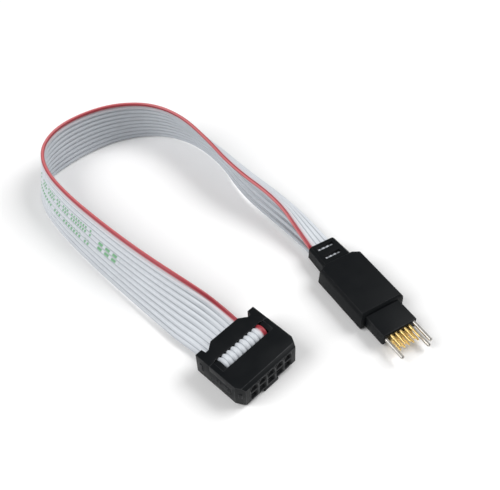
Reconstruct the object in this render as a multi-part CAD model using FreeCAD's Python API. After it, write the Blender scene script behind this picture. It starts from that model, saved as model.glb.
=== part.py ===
import FreeCAD, Part
import math
import os

# Programming adapter cable: a plug with ten spring contacts and three alignment pins, a ten-way flat ribbon,
# and a two-by-five insulation-displacement socket.
# Millimetres. Origin at the bottom centre of the plug, +X the way the plug is pushed on, +Z up.

Vector = FreeCAD.Vector

# Contact grid and ribbon
PITCH = 1.27                      # wires in the ribbon, and contacts along and across the plug
WAYS = 10
COLUMNS = WAYS // 2
ROW_OFFSET = PITCH / 2            # each contact row from the plug's mid-plane
RIBBON_THICKNESS = 0.9
RIBBON_WIDTH = WAYS * PITCH

# Plug, from its tail at -X to its pin tips at +X
PLUG_LENGTH = 36.2
PIN_TIP_X = PLUG_LENGTH / 2
TAIL_REAR_X = -PLUG_LENGTH / 2
ALIGNMENT_PIN_REACH = 5.9         # steel pins, past the nose
NOSE_X = PIN_TIP_X - ALIGNMENT_PIN_REACH
BODY_HEIGHT = 5.6
MID_Z = BODY_HEIGHT / 2
BODY_FRONT_X = 5.9
SHOULDER_X = -10.3                # the body starts to narrow here
NECK_X = -11.5                    # and meets the tail here
BODY_HALF_WIDTH = 6.05
NECK_HALF_WIDTH = 4.2
TAIL_HALF_WIDTH = 3.75
TAIL_HALF_HEIGHT = 1.95
TAIL_BEVEL = 0.6
WINDOW_LENGTH = 1.1               # two slots across the tail, above and below
WINDOW_WIDTH = 4.6
WINDOW_CENTRES_X = (-16.3, -13.3)

# Pin carrier
CARRIER_REAR_X = 4.3
CARRIER_HALF_WIDTH = 4.65
CARRIER_HALF_HEIGHT = 1.6
FLANGE_LENGTH = 0.8
FLANGE_STEP = 0.35

# Spring contacts
BARREL_RADIUS = 0.34
BARREL_REACH = 1.3                # barrel past the nose
BARREL_REAR_X = 2.0
BORE_RADIUS = 0.28
BORE_REAR_X = 7.0
LIP_LENGTH = 0.3
LIP_RADIUS = 0.255
TAIL_PIN_RADIUS = 0.19
TAIL_PIN_REAR_X = 0.5
PLUNGER_REACH = 3.65              # plunger tip past the nose, at rest
PLUNGER_RADIUS = 0.24
PLUNGER_CONE = 0.3
PISTON_RADIUS = 0.265
PISTON_LENGTH = 2.0
STOP_GAP = 0.02                   # piston to lip, and spring to its seats
SPRING_MEAN_RADIUS = 0.22
SPRING_WIRE_RADIUS = 0.035
SPRING_TURNS = 12

# Alignment pins: one on the left, two on the right
ALIGNMENT_RADIUS = 0.45
SHANK_REAR_RADIUS = 0.3           # the length pressed into the carrier tapers to this
ALIGNMENT_SIDE = 3.81
ALIGNMENT_SPREAD = 1.016
ALIGNMENT_REAR_X = 5.4
ALIGNMENT_CHAMFER = 0.2

# Inside the plug
INNER_REAR_X = -8.8
INNER_HALF_WIDTH = 4.4
INNER_HALF_HEIGHT = 1.9
STRIP_X = -7.5                    # the insulation ends here
CONDUCTOR_RADIUS = 0.19
SOLDER_RADIUS = 0.36
SOLDER_LENGTH = 1.8

# Socket, in its own frame: +x the mating direction, +y towards the red wire, +z up, face centre at the origin
SOCKET_AT = Vector(7.5, -30.8, 4.05)
SOCKET_YAW = 13.5                 # degrees about Z
SOCKET_ROLL = 3.0                 # degrees about its mating direction
SOCKET_PITCH = 2.54
SOCKET_HALF_WIDTH = 8.65
SOCKET_HALF_HEIGHT = 3.05
HOUSING_DEPTH = 6.6
POST_THICKNESS = 1.25             # the two end posts that guide the cover
POST_REAR_X = -9.6
FACE_BEVEL_LENGTH = 0.9
FACE_BEVEL_HEIGHT = 0.5
END_BEVEL_LENGTH = 2.2
END_BEVEL_WIDTH = 1.2
CAVITY_SIZE = 1.3
FUNNEL_SIZE = 2.05
FUNNEL_DEPTH = 0.5
CAVITY_DEPTH = 6.0
KEY_HALF_WIDTH = 2.1
KEY_LENGTH = 5.2
KEY_HEIGHT = 0.85
CHANNEL_DEPTH = 0.6               # the groove for the clip's arm in each end
CHANNEL_HALF_HEIGHT = 1.2
CHANNEL_FRONT_X = -3.4
CURL_RADIUS = 1.4                 # middle of the ribbon as it turns over the cover
CURL_Z = 1.55
CRIMP_X = -7.05
EXIT_RADIUS = 1.35
EXIT_Z = -2.35
BAR_GAP = 0.03                    # between the clip and the posts
BAR_LIP = 0.45                    # how far the bar reaches over the ribbon's curl
BAR_REAR_X = -14.0
BAR_UNDERSIDE_Z = -1.65
EAR_REAR_X = -13.8
EAR_INNER = 6.9
CONTACT_THICKNESS = 0.2
CONTACT_WIDTH = 0.9
CONTACT_FRONT_X = -1.3
CONTACT_BASE_X = -6.1
TINE_LENGTH = 1.9
TINE_WIDTH = 0.3
TINE_GAP = 0.3

# Route of the ribbon's middle from the socket to the plug: x, y, z, then how far the upper and the lower half
# lean inwards from upright, in degrees. The first point is where the ribbon leaves the socket.
ROUTE = (
    (-10.1, -34.9, 2.1, 81, 81),
    (-17.8, -38.9, 5.2, 46, 46),
    (-30.2, -43.0, 5.9, 31, 31),
    (-44.0, -46.6, 6.1, 24, 24),
    (-57.6, -49.4, 6.3, 18, 18),
    (-69.0, -50.3, 6.4, 14, 14),
    (-77.6, -47.6, 6.45, 8, 8),
    (-82.5, -39.9, 6.45, -9, -9),
    (-84.5, -31.0, 6.45, -8, -8),
    (-84.0, -21.9, 6.45, -1, -1),
    (-79.6, -13.2, 6.45, 8, 9),
    (-71.2, -7.4, 6.4, 21, 15),
    (-59.6, -4.4, 6.5, 39, 6),
    (-47.5, -3.2, 6.7, 53, -23),
    (-34.6, 0.9, 4.4, 54, -61),
)
LEAD_IN = 7.1                     # straight, out of the plug's tail
STEPS_PER_ARC = 3


def box(x0, x1, y0, y1, z0, z1):
    return Part.makeBox(x1 - x0, y1 - y0, z1 - z0, Vector(x0, y0, z0))


def rod(x0, x1, y, z, radius):
    return Part.makeCylinder(radius, x1 - x0, Vector(x0, y, z), Vector(1, 0, 0))


def cone(x0, x1, y, z, radius0, radius1):
    return Part.makeCone(radius0, radius1, x1 - x0, Vector(x0, y, z), Vector(1, 0, 0))


def fuse_all(shapes):
    return shapes[0].multiFuse(list(shapes[1:])).removeSplitter()


def loft(outlines):
    wires = [Part.makePolygon([*points, points[0]]) for points in outlines]
    return Part.makeLoft(wires, True, True)


def contact_places():
    """The (y, z) of each contact: the left column first, upper row then lower row."""
    places = []
    for column in range(COLUMNS):
        y = (column - (COLUMNS - 1) / 2) * PITCH
        for side in (1, -1):
            places.append((y, MID_Z + side * ROW_OFFSET))
    return places


# ---- Plug ----

def body_outline(z, inset):
    """The body seen from above, its corners cut where it narrows to the tail."""
    front = BODY_FRONT_X - inset
    wide = BODY_HALF_WIDTH - inset
    neck = NECK_HALF_WIDTH - inset / 2
    half = ((front, wide), (SHOULDER_X + inset / 2, wide), (NECK_X + inset, neck))
    return [Vector(x, y, z) for x, y in half] + [Vector(x, -y, z) for x, y in reversed(half)]


def tail_outline(x, half_width, half_height, bevel):
    corner = ((half_width, half_height - bevel), (half_width - bevel, half_height))
    top = [Vector(x, y, MID_Z + z) for y, z in corner]
    top += [Vector(x, -y, MID_Z + z) for y, z in reversed(corner)]
    bottom = [Vector(x, p.y, 2 * MID_Z - p.z) for p in reversed(top)]
    return top + bottom


def make_plug_outside():
    body = loft([
        body_outline(0, 0.6), body_outline(1.1, 0), body_outline(4.5, 0.1),
        body_outline(5.1, 0.25), body_outline(BODY_HEIGHT, 0.65),
    ])
    rounded = 0.35
    tail = loft([
        tail_outline(TAIL_REAR_X, TAIL_HALF_WIDTH - rounded, TAIL_HALF_HEIGHT - rounded, TAIL_BEVEL),
        tail_outline(TAIL_REAR_X + rounded, TAIL_HALF_WIDTH, TAIL_HALF_HEIGHT, TAIL_BEVEL),
        tail_outline(NECK_X + 1, NECK_HALF_WIDTH - 0.1, TAIL_HALF_HEIGHT + 0.15, TAIL_BEVEL),
    ])
    return body.fuse(tail).removeSplitter()


def make_inner_block():
    return box(INNER_REAR_X, CARRIER_REAR_X, -INNER_HALF_WIDTH, INNER_HALF_WIDTH,
               MID_Z - INNER_HALF_HEIGHT, MID_Z + INNER_HALF_HEIGHT)


def make_carrier_block():
    nose = box(CARRIER_REAR_X, NOSE_X, -CARRIER_HALF_WIDTH, CARRIER_HALF_WIDTH,
               MID_Z - CARRIER_HALF_HEIGHT, MID_Z + CARRIER_HALF_HEIGHT)
    nose = nose.makeChamfer(0.2, [edge for edge in nose.Edges if edge.BoundBox.XMin > NOSE_X - 0.01])
    flange = box(CARRIER_REAR_X, CARRIER_REAR_X + FLANGE_LENGTH,
                 -CARRIER_HALF_WIDTH - FLANGE_STEP, CARRIER_HALF_WIDTH + FLANGE_STEP,
                 MID_Z - CARRIER_HALF_HEIGHT - FLANGE_STEP, MID_Z + CARRIER_HALF_HEIGHT + FLANGE_STEP)
    return nose.fuse(flange).removeSplitter()


def make_ribbon_plug_end():
    """The ribbon folded lengthwise: five wires above, five below, joined at the far side."""
    fold_y = (COLUMNS - 1) / 2 * PITCH
    outside = box(TAIL_REAR_X, STRIP_X, fold_y - (RIBBON_WIDTH / 2 - ROW_OFFSET), fold_y + RIBBON_THICKNESS / 2,
                  MID_Z - ROW_OFFSET - RIBBON_THICKNESS / 2, MID_Z + ROW_OFFSET + RIBBON_THICKNESS / 2)
    gap = box(TAIL_REAR_X, STRIP_X, fold_y - RIBBON_WIDTH, fold_y - RIBBON_THICKNESS / 2,
              MID_Z - ROW_OFFSET + RIBBON_THICKNESS / 2, MID_Z + ROW_OFFSET - RIBBON_THICKNESS / 2)
    return outside.cut(gap)


def make_conductor(y, z):
    return rod(STRIP_X, TAIL_PIN_REAR_X, y, z, CONDUCTOR_RADIUS)


def make_solder_joint(y, z):
    x0 = TAIL_PIN_REAR_X - SOLDER_LENGTH / 2
    x1 = TAIL_PIN_REAR_X + SOLDER_LENGTH / 2 - 0.3
    ends = 0.4
    parts = [
        cone(x0, x0 + ends, y, z, TAIL_PIN_RADIUS + 0.03, SOLDER_RADIUS),
        rod(x0 + ends, x1 - ends, y, z, SOLDER_RADIUS),
        cone(x1 - ends, x1, y, z, SOLDER_RADIUS, TAIL_PIN_RADIUS + 0.03),
    ]
    return fuse_all(parts).cut(rod(x0, x1, y, z, TAIL_PIN_RADIUS))


def make_barrel(y, z):
    mouth = NOSE_X + BARREL_REACH
    solid = fuse_all([
        rod(BARREL_REAR_X, mouth, y, z, BARREL_RADIUS),
        rod(TAIL_PIN_REAR_X, BARREL_REAR_X, y, z, TAIL_PIN_RADIUS),
    ])
    bore = rod(BORE_REAR_X, mouth - LIP_LENGTH, y, z, BORE_RADIUS)
    throat = rod(mouth - LIP_LENGTH, mouth, y, z, LIP_RADIUS)
    return solid.cut(bore).cut(throat)


def make_plunger(y, z):
    piston_front = NOSE_X + BARREL_REACH - LIP_LENGTH - STOP_GAP
    tip = NOSE_X + PLUNGER_REACH
    return fuse_all([
        rod(piston_front - PISTON_LENGTH, piston_front, y, z, PISTON_RADIUS),
        rod(piston_front, tip - PLUNGER_CONE, y, z, PLUNGER_RADIUS),
        cone(tip - PLUNGER_CONE, tip, y, z, PLUNGER_RADIUS, PLUNGER_RADIUS / 4),
    ])


def make_spring(y, z):
    front = NOSE_X + BARREL_REACH - LIP_LENGTH - STOP_GAP - PISTON_LENGTH
    room = front - BORE_REAR_X - 2 * (SPRING_WIRE_RADIUS + STOP_GAP)
    helix = Part.makeHelix(room / SPRING_TURNS, room, SPRING_MEAN_RADIUS)
    section = Part.Wire(Part.makeCircle(SPRING_WIRE_RADIUS, Vector(SPRING_MEAN_RADIUS, 0, 0), Vector(0, 1, 0)))
    coil = Part.Wire(helix).makePipeShell([section], True, True)
    coil.rotate(Vector(0, 0, 0), Vector(0, 1, 0), 90)
    coil.translate(Vector(BORE_REAR_X + SPRING_WIRE_RADIUS + STOP_GAP, y, z))
    return coil


def make_alignment_pin(y, z):
    shank_end = PIN_TIP_X - ALIGNMENT_CHAMFER
    return fuse_all([
        cone(ALIGNMENT_REAR_X, NOSE_X, y, z, SHANK_REAR_RADIUS, ALIGNMENT_RADIUS),
        rod(NOSE_X, shank_end, y, z, ALIGNMENT_RADIUS),
        cone(shank_end, PIN_TIP_X, y, z, ALIGNMENT_RADIUS, ALIGNMENT_RADIUS - ALIGNMENT_CHAMFER),
    ])


def make_windows():
    """The slots across the tail, down to the ribbon's face above and below."""
    cuts = []
    ribbon_face = ROW_OFFSET + RIBBON_THICKNESS / 2
    for x in WINDOW_CENTRES_X:
        for low, high in ((MID_Z + ribbon_face, BODY_HEIGHT), (0, MID_Z - ribbon_face)):
            cuts.append(box(x - WINDOW_LENGTH / 2, x + WINDOW_LENGTH / 2,
                            -WINDOW_WIDTH / 2, WINDOW_WIDTH / 2, low, high))
    return cuts


def make_plug():
    places = contact_places()
    ribbon_end = make_ribbon_plug_end()
    barrels = [make_barrel(y, z) for y, z in places]
    wires = [make_conductor(y, z) for y, z in places]
    joints = [make_solder_joint(y, z) for y, z in places]
    pins = {
        "alignment_pin_left": make_alignment_pin(-ALIGNMENT_SIDE, MID_Z),
        "alignment_pin_right_upper": make_alignment_pin(ALIGNMENT_SIDE, MID_Z + ALIGNMENT_SPREAD),
        "alignment_pin_right_lower": make_alignment_pin(ALIGNMENT_SIDE, MID_Z - ALIGNMENT_SPREAD),
    }
    inner = make_inner_block()
    carrier = make_carrier_block()
    parts = dict(pins)
    parts["overmould"] = make_plug_outside().cut([inner, carrier, ribbon_end, *make_windows()])
    parts["inner_mould"] = inner.cut([ribbon_end, *wires, *joints, *barrels])
    full_barrels = [rod(BARREL_REAR_X, NOSE_X, y, z, BARREL_RADIUS) for y, z in places]
    parts["pin_carrier"] = carrier.cut([*full_barrels, *pins.values()])
    parts["ribbon_plug_end"] = ribbon_end
    parts["wire_ends"] = Part.makeCompound(wires)
    parts["solder_joints"] = Part.makeCompound(joints)
    for number, (y, z) in enumerate(places, 1):
        parts[f"contact_barrel_{number:02d}"] = barrels[number - 1]
        parts[f"contact_plunger_{number:02d}"] = make_plunger(y, z)
        parts[f"contact_spring_{number:02d}"] = make_spring(y, z)
    return parts


# ---- Socket, built in its own frame ----

def socket_contact_places():
    places = []
    for column in range(COLUMNS):
        y = (column - (COLUMNS - 1) / 2) * SOCKET_PITCH
        for side in (1, -1):
            places.append((y, side * SOCKET_PITCH / 2, y - side * ROW_OFFSET))
    return places


def make_cavity(y, z):
    half = CAVITY_SIZE / 2
    wide = FUNNEL_SIZE / 2
    well = box(-CAVITY_DEPTH, 0, y - half, y + half, z - half, z + half)
    funnel = loft([
        [Vector(-FUNNEL_DEPTH, y + a * half, z + b * half) for a, b in ((1, 1), (-1, 1), (-1, -1), (1, -1))],
        [Vector(0, y + a * wide, z + b * wide) for a, b in ((1, 1), (-1, 1), (-1, -1), (1, -1))],
    ])
    return well.fuse(funnel)


def make_housing(contacts):
    wide = SOCKET_HALF_WIDTH
    high = SOCKET_HALF_HEIGHT
    slope = FACE_BEVEL_LENGTH
    drop = FACE_BEVEL_HEIGHT
    profile = [
        Vector(-HOUSING_DEPTH, -wide, -high), Vector(-slope / 2, -wide, -high), Vector(0, -wide, -high + drop / 2),
        Vector(0, -wide, high - drop), Vector(-slope, -wide, high), Vector(-HOUSING_DEPTH, -wide, high),
    ]
    block = Part.Face(Part.makePolygon([*profile, profile[0]])).extrude(Vector(0, 2 * wide, 0))
    half = ((-HOUSING_DEPTH, wide), (-END_BEVEL_LENGTH, wide), (0, wide - END_BEVEL_WIDTH))
    plan = [Vector(x, y, -high) for x, y in half] + [Vector(x, -y, -high) for x, y in reversed(half)]
    block = block.common(Part.Face(Part.makePolygon([*plan, plan[0]])).extrude(Vector(0, 0, 2 * high)))
    posts = [box(POST_REAR_X, -HOUSING_DEPTH, y0, y0 + POST_THICKNESS, -high, high)
             for y0 in (-wide, wide - POST_THICKNESS)]
    key = box(-KEY_LENGTH, 0, -KEY_HALF_WIDTH, KEY_HALF_WIDTH, -high - KEY_HEIGHT, -high)
    solid = fuse_all([block, *posts, key])
    channels = [box(POST_REAR_X, CHANNEL_FRONT_X, y0, y0 + CHANNEL_DEPTH,
                    -CHANNEL_HALF_HEIGHT, CHANNEL_HALF_HEIGHT)
                for y0 in (-wide, wide - CHANNEL_DEPTH)]
    cavities = [make_cavity(y, z) for y, z, _ in socket_contact_places()]
    return solid.cut([*channels, *cavities, *contacts])


def make_cover(contacts):
    rear_x = CRIMP_X - 2 * CURL_RADIUS + RIBBON_THICKNESS / 2
    front_x = CRIMP_X - RIBBON_THICKNESS / 2
    radius = CURL_RADIUS - RIBBON_THICKNESS / 2
    half = RIBBON_WIDTH / 2
    ends = SOCKET_HALF_WIDTH - POST_THICKNESS
    high = SOCKET_HALF_HEIGHT
    middle = box(rear_x, front_x, -half, half, -high, CURL_Z)
    crest = Part.makeCylinder(radius, 2 * half, Vector((rear_x + front_x) / 2, -half, CURL_Z), Vector(0, 1, 0))
    sides = [box(rear_x, -HOUSING_DEPTH, y0, y1, -high, high) for y0, y1 in ((-ends, -half), (half, ends))]
    return fuse_all([middle, crest, *sides]).cut(contacts)


def make_ribbon_fold(contacts):
    """From the cut end up between housing and cover, over the cover, down again and out under the clip's bar."""
    half = RIBBON_THICKNESS / 2
    back_x = CRIMP_X - 2 * CURL_RADIUS
    exit_x = back_x - EXIT_RADIUS
    bend_z = EXIT_Z + EXIT_RADIUS
    slope = math.sqrt(0.5)

    def face_line(offset):
        """One face of the ribbon, as edges: offset is positive on the outside of the curl."""
        outer = CURL_RADIUS + offset
        inner = EXIT_RADIUS - offset
        crest = Vector(CRIMP_X - CURL_RADIUS, 0, CURL_Z)
        heel = Vector(exit_x, 0, bend_z)
        start = Vector(CRIMP_X + offset, 0, -SOCKET_HALF_HEIGHT)
        points = [start, crest + Vector(outer, 0, 0), crest + Vector(-outer, 0, 0),
                  heel + Vector(inner, 0, 0), heel + Vector(0, 0, -inner)]
        return [
            Part.LineSegment(points[0], points[1]).toShape(),
            Part.Arc(points[1], crest + Vector(0, 0, outer), points[2]).toShape(),
            Part.LineSegment(points[2], points[3]).toShape(),
            Part.Arc(points[3], heel + Vector(inner * slope, 0, -inner * slope), points[4]).toShape(),
        ], points[0], points[4]

    outside, outside_start, outside_end = face_line(half)
    inside, inside_start, inside_end = face_line(-half)
    ends = [Part.LineSegment(outside_start, inside_start).toShape(),
            Part.LineSegment(outside_end, inside_end).toShape()]
    outline = Part.Wire(Part.__sortEdges__([*outside, *inside, *ends]))
    strip = Part.Face(outline).extrude(Vector(0, RIBBON_WIDTH, 0))
    strip.translate(Vector(0, -RIBBON_WIDTH / 2, 0))
    return strip.cut(contacts)


def make_strain_relief(fold):
    wide = SOCKET_HALF_WIDTH
    front = CRIMP_X - 2 * CURL_RADIUS - RIBBON_THICKNESS / 2 + BAR_LIP
    post = POST_REAR_X - BAR_GAP
    half = (
        (post, wide), (EAR_REAR_X, wide), (EAR_REAR_X, EAR_INNER), (-12.7, EAR_INNER - 0.2),
        (-12.7, 5.9), (BAR_REAR_X, 4.1),
    )
    plan = [Vector(x, y, BAR_UNDERSIDE_Z) for x, y in half]
    plan += [Vector(x, -y, BAR_UNDERSIDE_Z) for x, y in reversed(half)]
    height = SOCKET_HALF_HEIGHT - 0.05 - BAR_UNDERSIDE_Z
    bar = Part.Face(Part.makePolygon([*plan, plan[0]])).extrude(Vector(0, 0, height))
    clear = box(front, post + 1, -EAR_INNER, EAR_INNER, -SOCKET_HALF_HEIGHT, SOCKET_HALF_HEIGHT)
    legs = [box(EAR_REAR_X, post, y0, y0 + wide - EAR_INNER, -SOCKET_HALF_HEIGHT, BAR_UNDERSIDE_Z)
            for y0 in (-wide, EAR_INNER)]
    arms = []
    for side in (-1, 1):
        y0, y1 = sorted((side * (wide - CHANNEL_DEPTH), side * wide))
        arms.append(box(post, CHANNEL_FRONT_X - 0.2, y0, y1, -CHANNEL_HALF_HEIGHT + 0.05, CHANNEL_HALF_HEIGHT - 0.05))
    return fuse_all([bar.cut(clear), *legs, *arms]).cut(fold)


def make_socket_contact(y, z, wire_y):
    """Two leaves that grip a header pin, a base, and a fork that cuts into its wire."""
    gap = CAVITY_SIZE / 2 - CONTACT_THICKNESS
    leaves = [box(CONTACT_BASE_X, CONTACT_FRONT_X, y - CONTACT_WIDTH / 2, y + CONTACT_WIDTH / 2, z0,
                  z0 + CONTACT_THICKNESS) for z0 in (z - CAVITY_SIZE / 2, z + gap)]
    base = box(CONTACT_BASE_X - CONTACT_THICKNESS, CONTACT_BASE_X, min(y, wire_y) - CONTACT_WIDTH / 2,
               max(y, wire_y) + CONTACT_WIDTH / 2, z - CAVITY_SIZE / 2, z + CAVITY_SIZE / 2)
    tines = []
    for side in (-1, 1):
        y0, y1 = sorted((wire_y + side * TINE_GAP / 2, wire_y + side * (TINE_GAP / 2 + TINE_WIDTH)))
        x1 = CONTACT_BASE_X - CONTACT_THICKNESS
        tines.append(box(x1 - TINE_LENGTH, x1, y0, y1, z - CONTACT_THICKNESS / 2, z + CONTACT_THICKNESS / 2))
    return fuse_all([base, *leaves, *tines])


def socket_placement():
    yaw = FreeCAD.Rotation(Vector(0, 0, 1), SOCKET_YAW)
    roll = FreeCAD.Rotation(Vector(1, 0, 0), SOCKET_ROLL)
    return FreeCAD.Placement(SOCKET_AT, yaw * roll)


def make_socket():
    contacts = [make_socket_contact(*place) for place in socket_contact_places()]
    fold = make_ribbon_fold(contacts)
    parts = {
        "socket_housing": make_housing(contacts),
        "socket_cover": make_cover(contacts),
        "ribbon_socket_fold": fold,
        "socket_strain_relief": make_strain_relief(fold),
    }
    for number, contact in enumerate(contacts, 1):
        parts[f"socket_contact_{number:02d}"] = contact
    place = socket_placement().toMatrix()
    return {name: shape.transformGeometry(place) for name, shape in parts.items()}


# ---- Free ribbon ----

def route_points():
    """The whole route: socket exit, the points above, and a straight lead into the plug's tail."""
    exit_x = CRIMP_X - 2 * CURL_RADIUS - EXIT_RADIUS
    start = socket_placement().multVec(Vector(exit_x, 0, EXIT_Z))
    fold_y = (COLUMNS - 1) / 2 * PITCH
    points = [(start, 87, 87)]
    points += [(Vector(x, y, z), upper, lower) for x, y, z, upper, lower in ROUTE]
    points.append((Vector(TAIL_REAR_X - LEAD_IN, fold_y, MID_Z), 74, -83))
    points.append((Vector(TAIL_REAR_X, fold_y, MID_Z), 90, -90))
    return points


def section_points(centre, along, upper, lower):
    """The ribbon's outline across the route: upper half, a one-pitch web at the fold line, lower half."""
    inward = along.cross(Vector(0, 0, 1)).normalize()
    upright = inward.cross(along).normalize()

    def lean(degrees):
        angle = math.radians(degrees)
        return upright * math.cos(angle) + inward * math.sin(angle)

    web = lean((upper + lower) / 2) * (PITCH / 2)
    arm = RIBBON_WIDTH / 2 - PITCH / 2
    line = [centre + web + lean(upper) * arm, centre + web, centre - web, centre - web - lean(lower) * arm]
    facing = [(b - a).normalize().cross(along) for a, b in zip(line, line[1:])]
    half = RIBBON_THICKNESS / 2
    offsets = [facing[0] * half]
    for a, b in zip(facing, facing[1:]):
        middle = (a + b).normalize()
        offsets.append(middle * (half / middle.dot(a)))
    offsets.append(facing[-1] * half)
    front = [p + o for p, o in zip(line, offsets)]
    back = [p - o for p, o in zip(line, offsets)]
    return front + back[::-1]


def ribbon_stations():
    """Centre, direction and leans along straight runs joined by tangent arcs."""
    points = route_points()
    centres = [p[0] for p in points]
    runs = [(b - a).Length for a, b in zip(centres, centres[1:])]
    stations = [(centres[0], (centres[1] - centres[0]).normalize(), *points[0][1:])]
    length = 0.0
    last = centres[0]
    for i in range(1, len(points) - 1):
        before = (centres[i] - centres[i - 1]).normalize()
        after = (centres[i + 1] - centres[i]).normalize()
        turn = before.getAngle(after)
        reach = 0.45 * min(runs[i - 1], runs[i])
        radius = reach / math.tan(turn / 2)
        print(f"route point {i}: turn {math.degrees(turn):.1f} degrees, radius {radius:.1f} mm")
        towards_centre = (after - before).normalize()
        middle = centres[i] + towards_centre * (radius / math.cos(turn / 2))
        start = centres[i] - before * reach
        length += (start - last).Length + radius * turn
        last = centres[i] + after * reach
        normal = (start - middle).normalize()
        for step in range(STEPS_PER_ARC + 1):
            share = step / STEPS_PER_ARC
            angle = turn * share
            centre = middle + (normal * math.cos(angle) + before * math.sin(angle)) * radius
            along = (before * math.cos(angle) - normal * math.sin(angle)).normalize()
            leans = []
            for side in (1, 2):
                here = points[i][side]
                back = (points[i - 1][side] - here) * (1 - share) ** 2 / 2
                ahead = (points[i + 1][side] - here) * share ** 2 / 2
                leans.append(here + back + ahead)
            stations.append((centre, along, *leans))
    length += (centres[-1] - last).Length
    stations.append((centres[-1], (centres[-1] - centres[-2]).normalize(), *points[-1][1:]))
    return stations, length


def make_ribbon():
    stations, length = ribbon_stations()
    ribbon = loft([section_points(*station) for station in stations])
    expected = RIBBON_WIDTH * RIBBON_THICKNESS * length
    print(f"free ribbon: length {length:.1f} mm, volume {ribbon.Volume:.0f}, section times length {expected:.0f}")
    print(f"free ribbon: lowest point {ribbon.BoundBox.ZMin:.2f}")
    return ribbon


def main():
    os.makedirs("parts", exist_ok=True)
    parts = make_plug()
    parts.update(make_socket())
    parts["ribbon"] = make_ribbon()
    for name, shape in parts.items():
        if not shape.isValid():
            print("invalid shape:", name)
        shape.exportStep(f"parts/{name}.step")
    print(len(parts), "nodes")


main()
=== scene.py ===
import math

import bmesh
import bpy
from mathutils import Matrix, Vector


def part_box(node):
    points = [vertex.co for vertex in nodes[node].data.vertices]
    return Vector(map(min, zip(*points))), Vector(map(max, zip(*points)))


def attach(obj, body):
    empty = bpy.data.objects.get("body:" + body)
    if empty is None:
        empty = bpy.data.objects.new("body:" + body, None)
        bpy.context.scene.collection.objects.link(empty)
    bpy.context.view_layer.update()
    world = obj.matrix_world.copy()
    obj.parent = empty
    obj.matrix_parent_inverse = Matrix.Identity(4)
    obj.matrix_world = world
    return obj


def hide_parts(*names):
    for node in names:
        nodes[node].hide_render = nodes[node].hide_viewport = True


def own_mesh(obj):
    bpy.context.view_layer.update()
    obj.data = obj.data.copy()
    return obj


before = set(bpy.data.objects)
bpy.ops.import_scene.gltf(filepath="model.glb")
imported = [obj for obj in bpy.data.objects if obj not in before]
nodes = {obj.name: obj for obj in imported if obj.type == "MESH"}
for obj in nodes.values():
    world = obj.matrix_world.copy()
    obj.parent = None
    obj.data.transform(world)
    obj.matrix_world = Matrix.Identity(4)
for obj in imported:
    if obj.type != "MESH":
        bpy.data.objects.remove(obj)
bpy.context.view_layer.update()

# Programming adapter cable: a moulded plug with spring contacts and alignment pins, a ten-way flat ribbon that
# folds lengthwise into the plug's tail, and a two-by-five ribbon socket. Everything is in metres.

MM = 0.001

WAYS = 10
PITCH = 1.27 * MM
WIRE_RADIUS = 0.45 * MM
STRIP_HALF_WIDTH = WAYS * PITCH / 2
MID_Z = 2.8 * MM                   # the plug's mid-plane
FOLD_Y = 2 * PITCH                 # the ribbon's fold line inside the plug
FOLD_HALF = 1.0 * MM               # half the width of the bent stretch at the fold line
NOSE_STRETCH = 6.2 * MM            # how far the pin carrier stands out of the overmould
OVERMOULD_ROUNDING = 0.42 * MM
CARRIER_ROUNDING = 0.12 * MM

# The socket's own frame: +x the mating direction, +y towards the red wire, +z up, face centre at the origin.
SOCKET_AT = Vector((7.5, -30.8, 4.05)) * MM
SOCKET = (Matrix.Translation(SOCKET_AT) @ Matrix.Rotation(math.radians(13.5), 4, "Z")
          @ Matrix.Rotation(math.radians(3.0), 4, "X"))
CRIMP_X = -7.05 * MM
CURL_RADIUS = 1.4 * MM
CURL_Z = 1.55 * MM
EXIT_RADIUS = 1.35 * MM
EXIT_Z = -2.35 * MM
EXIT_X = CRIMP_X - 2 * CURL_RADIUS - EXIT_RADIUS
SOCKET_HALF_HEIGHT = 3.05 * MM
SOCKET_HALF_WIDTH = 8.65 * MM
SOCKET_PITCH = 2.54 * MM
RIM_HALF_WIDTH = 1.10 * MM         # an arched bead round each column of holes
RIM_WIDTH = 0.16 * MM
RIM_FOOT_Z = -2.45 * MM
RIM_SPRING_Z = 1.25 * MM           # where the straight sides meet the arch
RIM_HEIGHT = 0.07 * MM
HOUSING_ROUNDING = 0.16 * MM
COVER_ROUNDING = 0.12 * MM
CLIP_ROUNDING = 0.18 * MM
BOSS_ROUNDING = 0.06 * MM
END_CHAMFER = math.atan2(1.2, 2.2)  # the housing's front corners, seen from above

# The raised blocks on each end of the socket: x, size (along x, up, out), taper. The nib is on the chamfered corner.
LATCH_BLOCKS = (
    (-4.7 * MM, (1.3 * MM, 1.7 * MM, 0.22 * MM), 0.25),
    (-6.6 * MM, (0.35 * MM, 1.7 * MM, 0.16 * MM), 0.2),
    (-7.6 * MM, (0.35 * MM, 1.7 * MM, 0.16 * MM), 0.2),
    (-12.2 * MM, (0.9 * MM, 2.6 * MM, 0.20 * MM), 0.2),
)
NIB_SIZE = (1.1 * MM, 1.6 * MM, 0.20 * MM)
NIB_TAPER = 0.25
NIB_X = -1.1 * MM
NIB_INSET = 0.6 * MM
NIB_Z = 0.3 * MM

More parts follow.
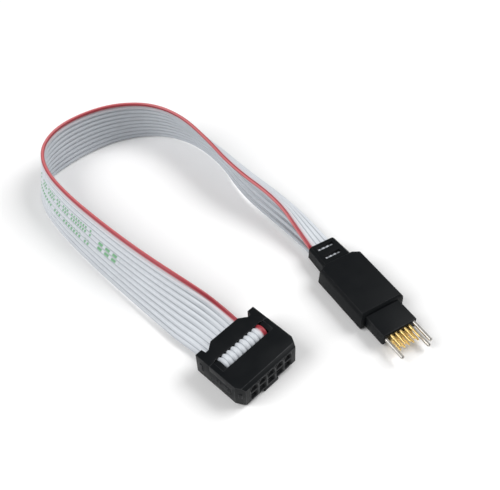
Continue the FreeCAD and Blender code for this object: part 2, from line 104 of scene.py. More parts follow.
# The free ribbon's route from socket to plug: the middle of the strip, then how far its upper and its lower half
# lean inwards from upright, in degrees.
ribbon_start = SOCKET @ Vector((EXIT_X, 0, EXIT_Z))
ROUTE = (
    (tuple(ribbon_start), 87, 87),
    ((-0.0101, -0.0349, 0.0021), 81, 81),
    ((-0.0178, -0.0389, 0.0052), 46, 46),
    ((-0.0302, -0.0430, 0.0059), 31, 31),
    ((-0.0440, -0.0466, 0.0061), 24, 24),
    ((-0.0576, -0.0494, 0.0063), 18, 18),
    ((-0.0690, -0.0503, 0.0064), 14, 14),
    ((-0.0776, -0.0476, 0.00645), 8, 8),
    ((-0.0825, -0.0399, 0.00645), -9, -9),
    ((-0.0845, -0.0310, 0.00645), -8, -8),
    ((-0.0840, -0.0219, 0.00645), -1, -1),
    ((-0.0796, -0.0132, 0.00645), 8, 9),
    ((-0.0712, -0.0074, 0.0064), 21, 15),
    ((-0.0596, -0.0044, 0.0065), 39, 6),
    ((-0.0475, -0.0032, 0.0067), 53, -23),
    ((-0.0346, 0.0009, 0.0044), 54, -61),
    ((-0.0252, 0.00254, 0.0028), 74, -83),
    ((-0.0181, 0.00254, 0.0028), 90, -90),
)

# The ribbon's printing. Across is counted in wires from the middle; along is in millimetres from the socket.
FAINT_STRETCH = (46.0, 74.0)
FAINT_STRENGTH = 0.78
BOLD_STRETCH = (35.3, 43.5)
BOLD_STRENGTH = 0.85
RED_FROM = (3.98, 4.10)            # the red wire starts between these
RED_CORE = 4.46                    # the middle of the red wire, where it is darkest

# The ribbon's colours.
GREY_LOW = (0.58, 0.61, 0.65, 1)
GREY_HIGH = (0.68, 0.71, 0.75, 1)
# Painted shade in the grooves between the wires.
PAINTED_GROOVE_SHADE = (0.25, 0.27, 0.30, 1)
# Painted shade on the wire along the bottom edge.
PAINTED_LAST_WIRE_SHADE = (0.34, 0.36, 0.39, 1)
# Painted shade on the loop's inner face.
PAINTED_INNER_FACE_SHADE = (0.34, 0.37, 0.40, 1)
PINK_BESIDE_RED = (0.62, 0.36, 0.37, 1)
RED_DARK = (0.34, 0.028, 0.042, 1)
RED_LIGHT = (0.58, 0.15, 0.16, 1)
INK_GREEN = (0.09, 0.36, 0.13, 1)

PLASTIC_SPECULAR = 0.12            # the black plastics are nearly matt

# The studio.
FLOOR_HALF_SIZE = 3.0
FLOOR_GREY = (0.93, 0.93, 0.93, 1)
LIGHTS_AIM = (-0.03, -0.02, 0.0)
SOFTBOX_SIZE = 0.80
RIGHT_LIGHT_AT = (0.16, 0.84, 1.00)
RIGHT_LIGHT_POWER = 13.6
LEFT_LIGHT_AT = (-0.10, -0.90, 0.84)
LEFT_LIGHT_POWER = 11.0
WORLD_STRENGTH = 0.20
CAMERA_AT = (0.0843, -0.0837, 0.1441)
CAMERA_AIM = (-0.0299, -0.0129, 0.0)
CAMERA_LENS = 56.98


# ---- Small helpers ----

def put_in_order(elements, key):
    """Sorts a mesh's vertices, edges or faces, which operators can leave in another order each time."""
    for index, element in enumerate(sorted(elements, key=key)):
        element.index = index
    elements.sort()
    elements.index_update()


def make_piece(name, bm, material, body="plug", replaces=(), sharp=35):
    """Turns a bmesh in the row frame into a piece that rides on a body."""
    put_in_order(bm.verts, key=lambda vert: vert.co[:])
    put_in_order(bm.edges, key=lambda edge: sorted(vert.index for vert in edge.verts))
    put_in_order(bm.faces, key=lambda face: sorted(vert.index for vert in face.verts))
    mesh = bpy.data.meshes.new(name)
    bm.to_mesh(mesh)
    bm.free()
    piece = bpy.data.objects.new(name, mesh)
    bpy.context.scene.collection.objects.link(piece)
    mesh.materials.append(material)
    mesh.shade_smooth()
    mesh.set_sharp_from_angle(angle=math.radians(sharp))
    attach(piece, body)
    if replaces:
        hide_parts(*replaces)
    return piece


def solid_copy(node):
    """A merged copy of a CAD node, its flat faces whole again."""
    bm = bmesh.new()
    bm.from_mesh(nodes[node].data)
    bm.faces.layers.float.new("rounded")
    bmesh.ops.remove_doubles(bm, verts=bm.verts, dist=2e-6)
    bmesh.ops.dissolve_limit(bm, angle_limit=math.radians(1), use_dissolve_boundaries=False,
                             verts=bm.verts, edges=bm.edges, delimit={"NORMAL"})
    return bm


def round_edges(bm, width, chosen, segments=3, angle=25):
    """Bevels the edges that turn by more than the angle and that the chosen test picks, by their middle."""
    picked = []
    for edge in bm.edges:
        if len(edge.link_faces) == 2 and edge.calc_face_angle(0) > math.radians(angle):
            if chosen((edge.verts[0].co + edge.verts[1].co) / 2):
                picked.append(edge)
    made = bmesh.ops.bevel(bm, geom=picked, offset=width, offset_type="OFFSET", affect="EDGES", segments=segments,
                           profile=0.5, material=-1, clamp_overlap=True)
    rounded = bm.faces.layers.float["rounded"]
    # The bevel faces take the painted edge highlight.
    for face in made["faces"]:
        face[rounded] = 1.0


# ---- Node groups and materials ----

def new_group(name, inputs, outputs):
    """A node group with these sockets, and its input and output nodes."""
    group = bpy.data.node_groups.new(name, "ShaderNodeTree")
    for label, kind, value in inputs:
        group.interface.new_socket(label, in_out="INPUT", socket_type=kind).default_value = value
    for label, kind in outputs:
        group.interface.new_socket(label, in_out="OUTPUT", socket_type=kind)
    return group, group.nodes.new("NodeGroupInput"), group.nodes.new("NodeGroupOutput")


def math_node(tree, operation, first, second=None, third=None):
    """A Math node's result; each input may be a number or another node's output."""
    node = tree.nodes.new("ShaderNodeMath")
    node.operation = operation
    for socket, value in zip(node.inputs, (first, second, third)):
        if value is None:
            continue
        if isinstance(value, (int, float)):
            socket.default_value = value
        else:
            tree.links.new(value, socket)
    return node.outputs[0]


def ramp_between(tree, value, low, high, out_low=0.0, out_high=1.0):
    """A smooth step from out_low to out_high as value goes from low to high."""
    node = tree.nodes.new("ShaderNodeMapRange")
    node.interpolation_type = "SMOOTHSTEP"
    tree.links.new(value, node.inputs["Value"])
    for label, number in (("From Min", low), ("From Max", high), ("To Min", out_low), ("To Max", out_high)):
        node.inputs[label].default_value = number
    return node.outputs["Result"]


def mix_colour(tree, share, first, second):
    """The first colour, or the second where share is 1; each may be a fixed value or another node's output."""
    node = tree.nodes.new("ShaderNodeMix")
    node.data_type = "RGBA"
    if isinstance(share, float):
        node.inputs["Factor"].default_value = share
    else:
        tree.links.new(share, node.inputs["Factor"])
    for socket, value in ((node.inputs["A"], first), (node.inputs["B"], second)):
        if isinstance(value, tuple):
            socket.default_value = value
        else:
            tree.links.new(value, socket)
    return node.outputs["Result"]


def attribute(tree, name):
    """A named mesh attribute's value."""
    node = tree.nodes.new("ShaderNodeAttribute")
    node.attribute_name = name
    return node.outputs["Fac"]


def make_grain_group():
    """Fine moulded or rolled grain: a height for bump, a roughness that varies, and a slow shade."""
    group, inside, outside = new_group(
        "surface_grain",
        [("Grain Scale", "NodeSocketFloat", 4000.0), ("Patch Scale", "NodeSocketFloat", 300.0),
         ("Roughness", "NodeSocketFloat", 0.45), ("Variation", "NodeSocketFloat", 0.1)],
        [("Height", "NodeSocketFloat"), ("Roughness", "NodeSocketFloat"), ("Shade", "NodeSocketFloat")])
    place = group.nodes.new("ShaderNodeTexCoord")
    grain = group.nodes.new("ShaderNodeTexNoise")
    patch = group.nodes.new("ShaderNodeTexNoise")
    for noise, label, detail in ((grain, "Grain Scale", 3.0), (patch, "Patch Scale", 4.0)):
        group.links.new(place.outputs["Object"], noise.inputs["Vector"])
        group.links.new(inside.outputs[label], noise.inputs["Scale"])
        noise.inputs["Detail"].default_value = detail
    centred = math_node(group, "SUBTRACT", patch.outputs["Fac"], 0.5)
    spread = math_node(group, "MULTIPLY", centred, inside.outputs["Variation"])
    rough = math_node(group, "MULTIPLY_ADD", spread, 2.0, inside.outputs["Roughness"])
    group.links.new(grain.outputs["Fac"], outside.inputs["Height"])
    group.links.new(rough, outside.inputs["Roughness"])
    group.links.new(patch.outputs["Fac"], outside.inputs["Shade"])
    return group


def make_edge_highlight_group():
    """A mask of painted highlights on the rounded edges, broken up by noise. The rounded faces carry the attribute.
    """
    group, inside, outside = new_group(
        "painted_edge_highlight", [("Amount", "NodeSocketFloat", 0.5), ("Break Up", "NodeSocketFloat", 700.0)],
        [("Mask", "NodeSocketFloat")])
    place = group.nodes.new("ShaderNodeTexCoord")
    noise = group.nodes.new("ShaderNodeTexNoise")
    group.links.new(place.outputs["Object"], noise.inputs["Vector"])
    group.links.new(inside.outputs["Break Up"], noise.inputs["Scale"])
    broken = ramp_between(group, noise.outputs["Fac"], 0.30, 0.65, 0.25, 1.0)
    mask = math_node(group, "MULTIPLY", attribute(group, "rounded"), broken)
    group.links.new(math_node(group, "MULTIPLY", mask, inside.outputs["Amount"]), outside.inputs["Mask"])
    return group


GRAIN = make_grain_group()
EDGE_HIGHLIGHT = make_edge_highlight_group()


def new_material(name):
    """A material, its node tree and its shader."""
    material = bpy.data.materials.new(name)
    material.use_nodes = True
    return material, material.node_tree, material.node_tree.nodes["Principled BSDF"]


def add_grain(tree, shader, scale, patch, roughness, variation, depth):
    """Puts the grain group in a material: roughness, bump and its slow shade, which it returns."""
    grain = tree.nodes.new("ShaderNodeGroup")
    grain.node_tree = GRAIN
    for label, value in (("Grain Scale", scale), ("Patch Scale", patch), ("Roughness", roughness),
                         ("Variation", variation)):
        grain.inputs[label].default_value = value
    bump = tree.nodes.new("ShaderNodeBump")
    bump.inputs["Strength"].default_value = 0.5
    bump.inputs["Distance"].default_value = depth
    tree.links.new(grain.outputs["Height"], bump.inputs["Height"])
    tree.links.new(bump.outputs["Normal"], shader.inputs["Normal"])
    tree.links.new(grain.outputs["Roughness"], shader.inputs["Roughness"])
    return grain.outputs["Shade"]


def moulded_plastic(name, dark, light, highlight_colour, roughness, highlight_amount):
    """Black moulded plastic: slow shade, fine grain, and a painted highlight on its rounded edges."""
    material, tree, shader = new_material(name)
    shade = add_grain(tree, shader, scale=5200.0, patch=260.0, roughness=roughness, variation=0.12, depth=0.004 * MM)
    body = mix_colour(tree, shade, dark, light)
    # Painted highlight: the rounded edges take a paler colour.
    edges = tree.nodes.new("ShaderNodeGroup")
    edges.node_tree = EDGE_HIGHLIGHT
    edges.inputs["Amount"].default_value = highlight_amount
    tree.links.new(mix_colour(tree, edges.outputs["Mask"], body, highlight_colour), shader.inputs["Base Color"])
    shader.inputs["Specular IOR Level"].default_value = PLASTIC_SPECULAR
    return material


def metal(name, first, second, roughness, variation):
    """Plated or drawn metal: two close colours, uneven polish, fine lines."""
    material, tree, shader = new_material(name)
    shade = add_grain(tree, shader, scale=9000.0, patch=700.0, roughness=roughness, variation=variation,
                      depth=0.0003 * MM)
    tree.links.new(mix_colour(tree, shade, first, second), shader.inputs["Base Color"])
    shader.inputs["Metallic"].default_value = 1.0
    return material


def between(tree, value, low, high):
    """1 where low < value < high, else 0."""
    return math_node(tree, "MULTIPLY", math_node(tree, "GREATER_THAN", value, low),
                     math_node(tree, "LESS_THAN", value, high))


def printed_dashes(tree, across, along):
    """Green printing as plain dashes of no meaning: two faint broken rows, then a few bolder blocks."""
    def broken_row(low, high, spacing, filled, share, seed):
        """Dashes between low and high across, one per spacing, each filling part of it; only a share are printed."""
        at = math_node(tree, "MULTIPLY_ADD", along, 1 / spacing, seed)
        chance = tree.nodes.new("ShaderNodeTexWhiteNoise")
        chance.noise_dimensions = "1D"
        tree.links.new(math_node(tree, "FLOOR", at), chance.inputs["W"])
        printed = math_node(tree, "LESS_THAN", chance.outputs["Value"], share)
        dash = math_node(tree, "LESS_THAN", math_node(tree, "FRACT", at), filled)
        row = math_node(tree, "MULTIPLY", printed, dash)
        return math_node(tree, "MULTIPLY", row, between(tree, across, low, high))

    upper_row = broken_row(0.35, 1.75, spacing=0.95, filled=0.62, share=0.75, seed=0.3)
    lower_row = broken_row(-2.0, -0.55, spacing=1.15, filled=0.58, share=0.8, seed=7.7)
    rows = math_node(tree, "MAXIMUM", upper_row, lower_row)
    rows = math_node(tree, "MULTIPLY", rows, between(tree, along, *FAINT_STRETCH))
    faint = math_node(tree, "MULTIPLY", rows, FAINT_STRENGTH)
    blocks = broken_row(-0.8, 1.2, spacing=2.6, filled=0.6, share=1.1, seed=0.0)
    blocks = math_node(tree, "MULTIPLY", blocks, between(tree, along, *BOLD_STRETCH))
    bold = math_node(tree, "MULTIPLY", blocks, BOLD_STRENGTH)
    return math_node(tree, "MAXIMUM", faint, bold)


def ribbon_vinyl():
    """Grey ribbon insulation with painted shade in its grooves, on its bottom edge wire and on the loop's inner face,
    with a red wire and green dashes outside.
    """
    material, tree, shader = new_material("ribbon_vinyl")
    across = attribute(tree, "across")          # wires from the middle, 0 to 5 each way, red at the positive end
    along = attribute(tree, "along")            # millimetres from the socket
    outside = attribute(tree, "outside")        # 1 on the loop's outer face, -1 on its inner face
    shade = add_grain(tree, shader, scale=3000.0, patch=120.0, roughness=0.42, variation=0.10, depth=0.003 * MM)
    grey = mix_colour(tree, shade, GREY_LOW, GREY_HIGH)
    from_groove = math_node(tree, "ABSOLUTE", math_node(tree, "SUBTRACT", math_node(tree, "FRACT", across), 0.5))
    # Painted shade: the grooves between the wires are darkened in colour.
    groove_shade = ramp_between(tree, from_groove, 0.35, 0.47)
    grey = mix_colour(tree, math_node(tree, "MULTIPLY", groove_shade, 0.75), grey, PAINTED_GROOVE_SHADE)
    # Painted shade: the wire along the bottom edge is darkened in colour.
    last_wire_shade = ramp_between(tree, across, -4.75, -4.15, 0.55, 0.0)
    grey = mix_colour(tree, last_wire_shade, grey, PAINTED_LAST_WIRE_SHADE)
    # Painted shade: the loop's inner face is darkened in colour.
    inner_face_shade = ramp_between(tree, outside, -0.55, 0.05, 0.50, 0.0)
    grey = mix_colour(tree, inner_face_shade, grey, PAINTED_INNER_FACE_SHADE)
    bleed = ramp_between(tree, across, 3.2, 4.05, 0.0, 0.25)
    grey = mix_colour(tree, bleed, grey, PINK_BESIDE_RED)
    from_red_core = math_node(tree, "ABSOLUTE", math_node(tree, "SUBTRACT", across, RED_CORE))
    red = mix_colour(tree, ramp_between(tree, from_red_core, 0.20, 0.40), RED_DARK, RED_LIGHT)
    colour = mix_colour(tree, ramp_between(tree, across, *RED_FROM), grey, red)

    dashes = printed_dashes(tree, across, along)
    on_outer_face = ramp_between(tree, outside, 0.30, 0.55)
    ink = math_node(tree, "MULTIPLY", dashes, on_outer_face)
    tree.links.new(mix_colour(tree, ink, colour, INK_GREEN), shader.inputs["Base Color"])
    return material


# The third colour of each black plastic is the painted highlight on its rounded edges.
OVERMOULD_BLACK = moulded_plastic("overmould_black", (0.0035, 0.0045, 0.0055, 1), (0.007, 0.008, 0.009, 1),
                                  (0.040, 0.042, 0.045, 1), roughness=0.48, highlight_amount=0.6)
SOCKET_BLACK = moulded_plastic("socket_black", (0.0035, 0.0045, 0.0055, 1), (0.008, 0.009, 0.010, 1),
                               (0.070, 0.073, 0.076, 1), roughness=0.42, highlight_amount=0.8)
CARRIER_BLACK = moulded_plastic("carrier_black", (0.003, 0.004, 0.005, 1), (0.006, 0.007, 0.008, 1),
                                (0.030, 0.031, 0.034, 1), roughness=0.45, highlight_amount=0.5)
RIBBON_VINYL = ribbon_vinyl()
GOLD = metal("gold_plate", (0.90, 0.62, 0.20, 1), (1.0, 0.80, 0.38, 1), roughness=0.34, variation=0.08)
STEEL = metal("pin_steel", (0.50, 0.48, 0.45, 1), (0.64, 0.62, 0.58, 1), roughness=0.34, variation=0.08)
SPRING_STEEL = metal("spring_wire", (0.42, 0.42, 0.43, 1), (0.55, 0.55, 0.56, 1), roughness=0.30, variation=0.10)
TINNED_COPPER = metal("tinned_copper", (0.60, 0.55, 0.48, 1), (0.72, 0.69, 0.65, 1), roughness=0.32, variation=0.10)
SOLDER = metal("solder", (0.55, 0.56, 0.58, 1), (0.68, 0.69, 0.70, 1), roughness=0.25, variation=0.15)
CONTACT_STRIP = metal("contact_strip", (0.66, 0.56, 0.38, 1), (0.78, 0.68, 0.48, 1), roughness=0.28, variation=0.12)


# ---- Ribbon ----

def spline_points(points):
    """The points of a smooth open line that has these as its control points."""
    curve = bpy.data.curves.new("route_line", "CURVE")
    curve.dimensions = "3D"
    curve.resolution_u = 12
    spline = curve.splines.new("NURBS")
    spline.points.add(len(points) - 1)
    for control, point in zip(spline.points, points):
        control.co = (*point, 1)
    spline.order_u = 3
    spline.use_endpoint_u = True
    holder = bpy.data.objects.new("route_line", curve)
    mesh = bpy.data.meshes.new_from_object(holder)
    found = [v.co.copy() for v in mesh.vertices]
    bpy.data.objects.remove(holder)
    bpy.data.meshes.remove(mesh)
    bpy.data.curves.remove(curve)
    return found


def strip_outline():
    """The ribbon's section as (across, through): ten round-backed wires joined by a thin web, both faces."""
    web = math.radians(18)
    steps = 5
    arc = [web + (math.pi - 2 * web) * k / steps for k in range(steps + 1)]
    outline = []
    for face in (1, -1):
        for wire in range(WAYS)[::face]:
            centre = ((WAYS - 1) / 2 - wire) * PITCH
            for angle in arc:
                outline.append((centre + face * WIRE_RADIUS * math.cos(angle), face * WIRE_RADIUS * math.sin(angle)))
        outline.append((-face * (STRIP_HALF_WIDTH - PITCH / 2 + WIRE_RADIUS), 0.0))
    return outline


OUTLINE = strip_outline()


def start_ring(bm, place):
    """The section's ring of vertices, marked with where each lies across the strip and which face it is on."""
    across_layer = bm.verts.layers.float.new("across")
    outside_layer = bm.verts.layers.float.new("outside")
    bm.verts.layers.float.new("along")
    ring = []
    for across, through in OUTLINE:
        vert = bm.verts.new(place(across, through))
        vert[across_layer] = across / PITCH
        vert[outside_layer] = through / WIRE_RADIUS
        ring.append(vert)
    edges = [bm.edges.new((a, b)) for a, b in zip(ring, ring[1:] + ring[:1])]
    return ring, edges


def cap(bm, verts):
    """Closes a ring with one face."""
    bmesh.ops.contextual_create(bm, geom=verts)


def fold_place(centre, along, upper, lower):
    """Where a point (across, through) of the section goes, with the strip's two halves leaning by these angles."""
    inward = along.cross(Vector((0, 0, 1))).normalized()
    upright = inward.cross(along).normalized()
    middle = math.radians((upper + lower) / 2)
    rate = math.radians(upper - lower) / (2 * FOLD_HALF)

    def swept(s):
        """How far up and inwards the bent middle of the strip has got at s from the fold line."""
        if abs(rate * FOLD_HALF) < 1e-4:
            return s * math.cos(middle), s * math.sin(middle)
        turn = middle + rate * s
        return (math.sin(turn) - math.sin(middle)) / rate, (math.cos(middle) - math.cos(turn)) / rate

    def place(across, through):
        bent = max(-FOLD_HALF, min(FOLD_HALF, across))
        lean = middle + rate * bent
        up, side = swept(bent)
        up += (across - bent) * math.cos(lean)
        side += (across - bent) * math.sin(lean)
        out = upright * math.sin(lean) - inward * math.cos(lean)
        return centre + upright * up + inward * side + out * through

    return place


def sweep_ring(bm, ring, edges, place, travelled):
    """Extrudes the ring once and puts the new ring in its place."""
    made = bmesh.ops.extrude_edge_only(bm, edges=edges)
    fresh = {v for v in made["geom"] if isinstance(v, bmesh.types.BMVert)}
    along_layer = bm.verts.layers.float["along"]
    following = []
    for old, (across, through) in zip(ring, OUTLINE):
        new = next(e.other_vert(old) for e in old.link_edges if e.other_vert(old) in fresh)
        new.co = place(across, through)
        new[along_layer] = travelled / MM
        following.append(new)
    new_edges = [bm.edges.get((a, b)) for a, b in zip(following, following[1:] + following[:1])]
    return following, new_edges


def make_free_ribbon():
    """The free ribbon along its route, and the line of its middle."""
    centres = spline_points([point for point, _, _ in ROUTE])
    leans = spline_points([(upper, lower, 0) for _, upper, lower in ROUTE])
    bm = bmesh.new()
    travelled = 0.0
    for k, (centre, lean) in enumerate(zip(centres, leans)):
        before = centres[max(k - 1, 0)]
        after = centres[min(k + 1, len(centres) - 1)]
        place = fold_place(centre, (after - before).normalized(), lean.x, lean.y)
        if k == 0:
            ring, edges = start_ring(bm, place)
            cap(bm, ring)
        else:
            travelled += (centre - before).length
            ring, edges = sweep_ring(bm, ring, edges, place, travelled)
    cap(bm, ring)
    bmesh.ops.recalc_face_normals(bm, faces=bm.faces)
    ribbon = make_piece("flat_ribbon", bm, RIBBON_VINYL, replaces=["ribbon"], sharp=80)
    return ribbon, centres


def make_ribbon_fold():
    """The ribbon's crimped end: up from its cut, over the cover, down behind it and out under the clip's bar."""
    bm = bmesh.new()
    ring, edges = start_ring(bm, lambda across, through: Vector((CRIMP_X + through, across, -SOCKET_HALF_HEIGHT)))
    cap(bm, ring)

    def last_ring(geometry):
        verts = [g for g in geometry if isinstance(g, bmesh.types.BMVert)]
        return verts, [g for g in geometry if isinstance(g, bmesh.types.BMEdge)]

    def rise(edges, height, steps):
        for _ in range(steps):
            made = bmesh.ops.extrude_edge_only(bm, edges=edges)["geom"]
            verts, edges = last_ring(made)
            edges = [e for e in edges if e.verts[0] in verts and e.verts[1] in verts]
            bmesh.ops.translate(bm, verts=verts, vec=(0, 0, height / steps))
        return verts, edges

    def turn(verts, edges, centre, axis, angle, steps):
        made = bmesh.ops.spin(bm, geom=verts + edges, cent=centre, axis=axis, dvec=(0, 0, 0), angle=angle,
                              steps=steps, use_merge=False, use_normal_flip=False, use_duplicate=False)
        return last_ring(made["geom_last"])

    verts, edges = rise(edges, CURL_Z + SOCKET_HALF_HEIGHT, steps=2)
    verts, edges = turn(verts, edges, (CRIMP_X - CURL_RADIUS, 0, CURL_Z), (0, -1, 0), math.pi, steps=20)
    verts, edges = rise(edges, EXIT_Z + EXIT_RADIUS - CURL_Z, steps=2)
    verts, edges = turn(verts, edges, (EXIT_X, 0, EXIT_Z + EXIT_RADIUS), (0, 1, 0), math.pi / 2, steps=10)
    cap(bm, verts)
    bmesh.ops.recalc_face_normals(bm, faces=bm.faces)
    bm.transform(SOCKET)
    return make_piece("ribbon_fold", bm, RIBBON_VINYL, replaces=["ribbon_socket_fold"], sharp=80)


def make_ribbon_tail():
    """The folded ribbon inside the plug's tail, seen through its windows."""
    low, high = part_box("ribbon_plug_end")
    bm = bmesh.new()
    place = fold_place(Vector((low.x, FOLD_Y, MID_Z)), Vector((1, 0, 0)), 90, -90)
    ring, edges = start_ring(bm, place)
    cap(bm, ring)
    made = bmesh.ops.extrude_edge_only(bm, edges=edges)["geom"]
    verts = [v for v in made if isinstance(v, bmesh.types.BMVert)]
    bmesh.ops.translate(bm, verts=verts, vec=(high.x - low.x, 0, 0))
    cap(bm, verts)
    bmesh.ops.recalc_face_normals(bm, faces=bm.faces)
    return make_piece("ribbon_tail", bm, RIBBON_VINYL, replaces=["ribbon_plug_end"], sharp=80)


# ---- Socket ----

def make_hole_rims():
    """A low arched bead on the mating face round each column of two holes."""
    bm = bmesh.new()
    rounded = bm.faces.layers.float.new("rounded")
    for column in range(-2, 3):
        middle = column * SOCKET_PITCH
        foot = [bm.verts.new((0, middle - RIM_HALF_WIDTH - reach, RIM_FOOT_Z)) for reach in (0, RIM_WIDTH)]
        start = bm.edges.new(foot)

        made = bmesh.ops.extrude_edge_only(bm, edges=[start])["geom"]
        verts = [g for g in made if isinstance(g, bmesh.types.BMVert)]
        bmesh.ops.translate(bm, verts=verts, vec=(0, 0, RIM_SPRING_Z - RIM_FOOT_Z))
        crossing = [g for g in made if isinstance(g, bmesh.types.BMEdge) and set(g.verts) == set(verts)]

        made = bmesh.ops.spin(bm, geom=verts + crossing, cent=(0, middle, RIM_SPRING_Z), axis=(-1, 0, 0),
                              dvec=(0, 0, 0), angle=math.pi, steps=14, use_merge=False,
                              use_normal_flip=False, use_duplicate=False)["geom_last"]
        crossing = [g for g in made if isinstance(g, bmesh.types.BMEdge)]

        made = bmesh.ops.extrude_edge_only(bm, edges=crossing)["geom"]
        verts = [g for g in made if isinstance(g, bmesh.types.BMVert)]
        bmesh.ops.translate(bm, verts=verts, vec=(0, 0, RIM_FOOT_Z - RIM_SPRING_Z))
    raised = bmesh.ops.extrude_face_region(bm, geom=bm.faces[:], use_keep_orig=True)["geom"]
    bmesh.ops.translate(bm, verts=[g for g in raised if isinstance(g, bmesh.types.BMVert)], vec=(RIM_HEIGHT, 0, 0))
    bmesh.ops.recalc_face_normals(bm, faces=bm.faces)
    # Every face of the bead takes the painted edge highlight.
    for face in bm.faces:
        face[rounded] = 1.0
    bm.transform(SOCKET)
    return make_piece("mating_face_rims", bm, SOCKET_BLACK)


def add_boss(bm, size, taper, place):
    """A small raised block, narrower at its top, its edges rounded; its foot is centred where place puts it."""
    rounded = bm.faces.layers.float["rounded"]
    made = bmesh.ops.create_cube(bm, size=1.0)["verts"]
    bmesh.ops.scale(bm, verts=made, vec=size)
    bmesh.ops.translate(bm, verts=made, vec=(0, 0, size[2] / 2))
    top = [v for v in made if v.co.z > size[2] / 2]
    bmesh.ops.scale(bm, verts=top, vec=(1 - taper, 1 - taper, 1))
    edges = list({e for v in made for e in v.link_edges})
    bevelled = bmesh.ops.bevel(bm, geom=edges, offset=BOSS_ROUNDING, offset_type="OFFSET", affect="EDGES", segments=2,
                               profile=0.5, material=-1, clamp_overlap=True)
    # The bevel faces take the painted edge highlight.
    for face in bevelled["faces"]:
        face[rounded] = 1.0
    verts = list({v for f in bevelled["faces"] for v in f.verts})
    bmesh.ops.transform(bm, matrix=place, verts=verts)


def make_latch_details():
    """The hooks of the clip's arms in their channels, and the ribs and lug on the socket's ends."""
    bm = bmesh.new()
    bm.faces.layers.float.new("rounded")
    for side in (-1, 1):
        outward = Matrix.Rotation(math.radians(90 if side < 0 else -90), 4, "X")
        end = side * SOCKET_HALF_WIDTH
        for x, size, taper in LATCH_BLOCKS:
            add_boss(bm, size, taper, Matrix.Translation((x, end, 0)) @ outward)
        corner = Matrix.Translation((NIB_X, side * (SOCKET_HALF_WIDTH - NIB_INSET), NIB_Z))
        add_boss(bm, NIB_SIZE, NIB_TAPER, corner @ Matrix.Rotation(-side * END_CHAMFER, 4, "Z") @ outward)
    bm.transform(SOCKET)
    return make_piece("latch_details", bm, SOCKET_BLACK)


def make_socket_pieces():
    """The socket's housing, cover and clip with rounded edges, and the details on them."""
    housing = solid_copy("socket_housing")
    round_edges(housing, HOUSING_ROUNDING, lambda p: True, segments=2)
    cover = solid_copy("socket_cover")
    round_edges(cover, COVER_ROUNDING, lambda p: True, segments=2)
    clip = solid_copy("socket_strain_relief")
    round_edges(clip, CLIP_ROUNDING, lambda p: True, segments=2)
    return [
        make_piece("connector_housing", housing, SOCKET_BLACK, replaces=["socket_housing"]),
        make_piece("connector_cover", cover, SOCKET_BLACK, replaces=["socket_cover"]),
        make_piece("connector_clip", clip, SOCKET_BLACK, replaces=["socket_strain_relief"]),
        make_hole_rims(),
        make_latch_details(),
    ]


# ---- Plug ----

def make_plug_pieces():
    """The overmould, and the pin carrier with only its outer stretch rounded."""
    _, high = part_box("overmould")
    shell = solid_copy("overmould")
    round_edges(shell, OVERMOULD_ROUNDING, lambda p: True)
    make_piece("plug_shell", shell, OVERMOULD_BLACK, replaces=["overmould"])
    carrier = solid_copy("pin_carrier")
    round_edges(carrier, CARRIER_ROUNDING, lambda p: high.x < p.x < high.x + NOSE_STRETCH)
    make_piece("plug_nose", carrier, CARRIER_BLACK, replaces=["pin_carrier"])


def make_springs():
    """The contact springs, each on a mesh of its own; the real springs shorten with their plungers."""
    for number in range(1, WAYS + 1):
        node = f"contact_spring_{number:02d}"
        bm = bmesh.new()
        bm.from_mesh(nodes[node].data)
        bmesh.ops.remove_doubles(bm, verts=bm.verts, dist=2e-7)
        spring = make_piece(f"return_spring_{number:02d}", bm, SPRING_STEEL, replaces=[node])
        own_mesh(spring)


def paint_nodes():
    """Finishes for the CAD nodes that stay as they are."""
    finishes = {"inner_mould": CARRIER_BLACK, "wire_ends": TINNED_COPPER, "solder_joints": SOLDER}
    for name, node in nodes.items():
        finish = finishes.get(name)
        if name.startswith("contact_barrel") or name.startswith("contact_plunger"):
            finish = GOLD
        elif name.startswith("alignment_pin"):
            finish = STEEL
        elif name.startswith("socket_contact"):
            finish = CONTACT_STRIP
        if finish:
            node.data.materials.clear()
            node.data.materials.append(finish)


# ---- Studio ----

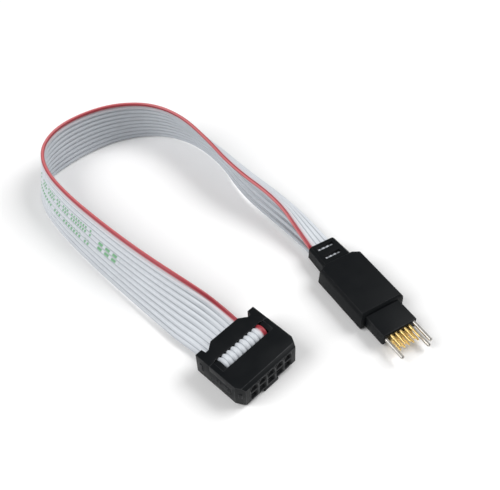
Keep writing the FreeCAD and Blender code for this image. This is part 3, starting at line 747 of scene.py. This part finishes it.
def make_floor():
    """A wide pale floor that belongs to the studio."""
    bm = bmesh.new()
    bmesh.ops.create_grid(bm, x_segments=1, y_segments=1, size=FLOOR_HALF_SIZE)
    mesh = bpy.data.meshes.new("floor")
    bm.to_mesh(mesh)
    bm.free()
    floor = bpy.data.objects.new("floor", mesh)
    bpy.context.scene.collection.objects.link(floor)
    material, tree, shader = new_material("pale_floor")
    shader.inputs["Base Color"].default_value = FLOOR_GREY
    shader.inputs["Roughness"].default_value = 0.9
    shader.inputs["Specular IOR Level"].default_value = 0.1
    mesh.materials.append(material)


def add_area_light(name, place, power):
    """A square softbox aimed at the middle of the cable."""
    light = bpy.data.lights.new(name, "AREA")
    light.shape = "SQUARE"
    light.size = SOFTBOX_SIZE
    light.energy = power
    holder = bpy.data.objects.new(name, light)
    holder.location = place
    holder.rotation_euler = (Vector(LIGHTS_AIM) - Vector(place)).to_track_quat("-Z", "Y").to_euler()
    bpy.context.scene.collection.objects.link(holder)


def make_studio():
    """The floor, a softbox on each side and a pale room."""
    make_floor()
    add_area_light("right_softbox", RIGHT_LIGHT_AT, RIGHT_LIGHT_POWER)
    add_area_light("left_softbox", LEFT_LIGHT_AT, LEFT_LIGHT_POWER)
    world = bpy.data.worlds.new("pale_room")
    world.use_nodes = True
    world.node_tree.nodes["Background"].inputs["Color"].default_value = (1.0, 1.0, 1.0, 1)
    world.node_tree.nodes["Background"].inputs["Strength"].default_value = WORLD_STRENGTH
    bpy.context.scene.world = world
    bpy.context.scene.view_settings.view_transform = "Standard"


def make_camera():
    """The camera, above and in front of the two ends."""
    camera = bpy.data.cameras.new("camera")
    camera.sensor_width = 36.0
    camera.lens = CAMERA_LENS
    holder = bpy.data.objects.new("camera", camera)
    holder.location = CAMERA_AT
    holder.rotation_euler = (Vector(CAMERA_AIM) - Vector(CAMERA_AT)).to_track_quat("-Z", "Y").to_euler()
    camera.clip_start = 0.01
    camera.clip_end = 20.0
    bpy.context.scene.collection.objects.link(holder)
    bpy.context.scene.camera = holder


make_camera()
ribbon, ribbon_line = make_free_ribbon()
ribbon_fold = make_ribbon_fold()
make_ribbon_tail()
socket_pieces = make_socket_pieces()
make_plug_pieces()
make_springs()
paint_nodes()
make_studio()

[tuple(p) for p in reversed(ribbon_line)]
